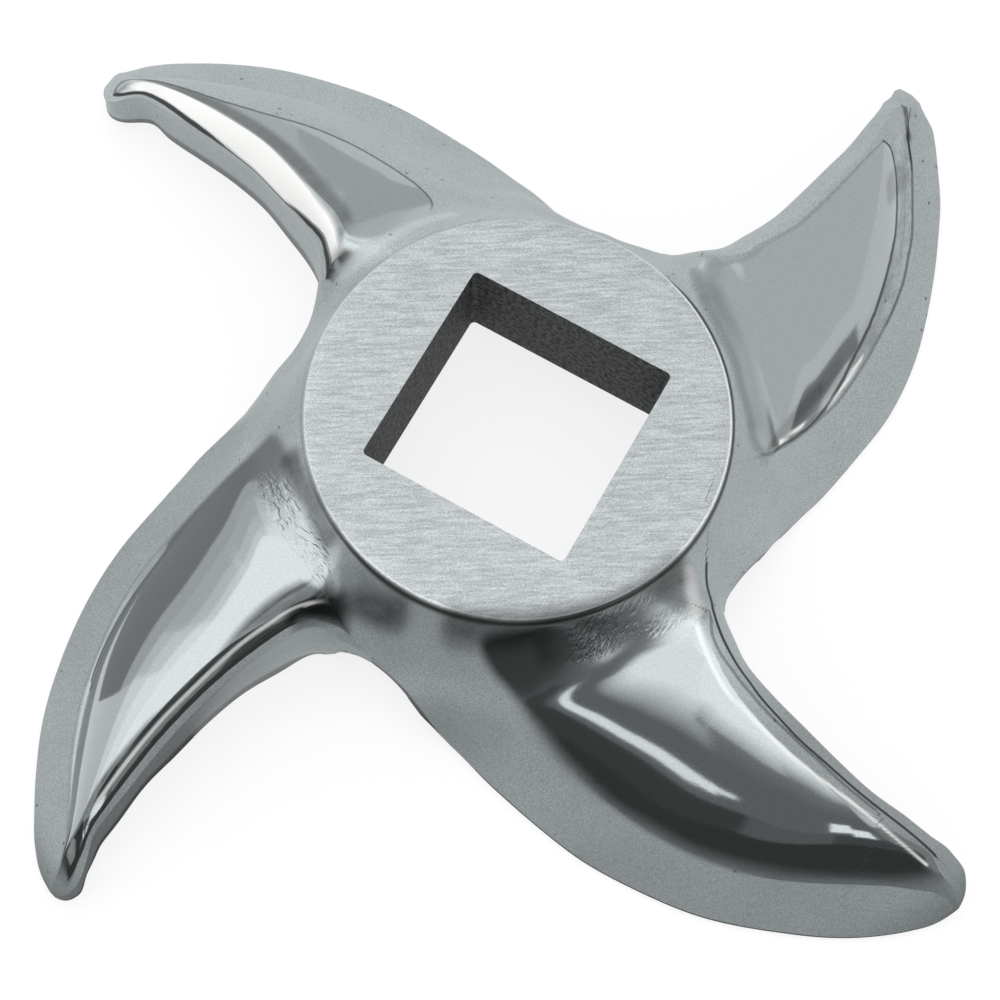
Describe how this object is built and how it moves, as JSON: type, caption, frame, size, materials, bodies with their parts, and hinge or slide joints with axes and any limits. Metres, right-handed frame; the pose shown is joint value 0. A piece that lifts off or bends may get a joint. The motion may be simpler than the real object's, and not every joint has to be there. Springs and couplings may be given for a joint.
{
  "type": "meat grinder knife",
  "caption": "Cross-shaped cutting knife with swept, hollow-ground arms round a hub with a square hole; it turns against the plate of a meat grinder.",
  "frame": {"origin": "on the hub's axis, in the plane of the arms' undersides, which is the cutting plane", "axes": "+Z along the hub's axis away from the plate, X and Y along the sides of the square hole"},
  "size_m": [0.0954, 0.0954, 0.0145],
  "materials": {
    "steel": "arms polished over as-cast dents, hub face ground, hole walls as cast"
  },
  "bodies": {
    "root": {"knife": "steel"}
  },
  "joints": []
}
